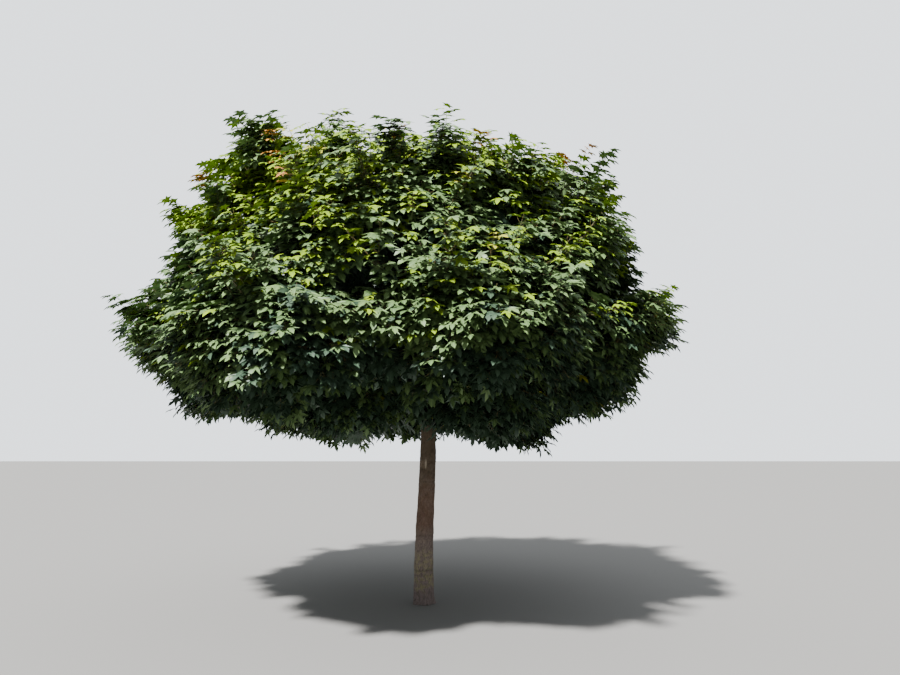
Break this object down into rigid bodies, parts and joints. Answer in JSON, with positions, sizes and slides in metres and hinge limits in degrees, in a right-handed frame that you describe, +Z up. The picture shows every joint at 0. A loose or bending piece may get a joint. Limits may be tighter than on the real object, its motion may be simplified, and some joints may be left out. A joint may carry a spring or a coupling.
{
  "type": "mop-headed maple tree",
  "caption": "Garden maple on one clear stem with a low fork and a broad, dense dome of green foliage with reddish summer shoots.",
  "frame": {"origin": "middle of the flat cut under the trunk, at ground level", "axes": "+Z up the trunk, +X to the right and +Y to the back, as seen from the picture's side"},
  "size_m": [5.6983, 5.4759, 4.9028],
  "materials": {
    "trunk_bark": "rough",
    "bough_bark": "rough",
    "leaves": "satin"
  },
  "bodies": {
    "root": {"bough_flank_1": "bough_bark", "bough_flank_2": "bough_bark", "bough_flank_3": "bough_bark", "bough_flank_4": "bough_bark", "bough_flank_5": "bough_bark", "bough_flank_6": "bough_bark", "bough_hem_1": "bough_bark", "bough_hem_2": "bough_bark", "bough_hem_3": "bough_bark", "bough_hem_4": "bough_bark", "bough_hem_5": "bough_bark", "bough_shoulder_1": "bough_bark", "bough_shoulder_2": "bough_bark", "bough_shoulder_3": "bough_bark", "bough_shoulder_4": "bough_bark", "bough_shoulder_5": "bough_bark", "bough_skirt_1": "bough_bark", "bough_skirt_2": "bough_bark", "bough_skirt_3": "bough_bark", "bough_skirt_4": "bough_bark", "bough_skirt_5": "bough_bark", "bough_skirt_6": "bough_bark", "bough_skirt_7": "bough_bark", "bough_top_1": "bough_bark", "bough_top_2": "bough_bark", "bough_top_3": "bough_bark", "foliage_flank_1": "leaves", "foliage_flank_2": "leaves", "foliage_flank_3": "leaves", "foliage_flank_4": "leaves", "foliage_flank_5": "leaves", "foliage_flank_6": "leaves", "foliage_hem_1": "leaves", "foliage_hem_2": "leaves", "foliage_hem_3": "leaves", "foliage_hem_4": "leaves", "foliage_hem_5": "leaves", "foliage_shoulder_1": "leaves", "foliage_shoulder_2": "leaves", "foliage_shoulder_3": "leaves", "foliage_shoulder_4": "leaves", "foliage_shoulder_5": "leaves", "foliage_skirt_1": "leaves", "foliage_skirt_2": "leaves", "foliage_skirt_3": "leaves", "foliage_skirt_4": "leaves", "foliage_skirt_5": "leaves", "foliage_skirt_6": "leaves", "foliage_skirt_7": "leaves", "foliage_top_1": "leaves", "foliage_top_2": "leaves", "foliage_top_3": "leaves", "trunk": "trunk_bark"}
  },
  "joints": []
}
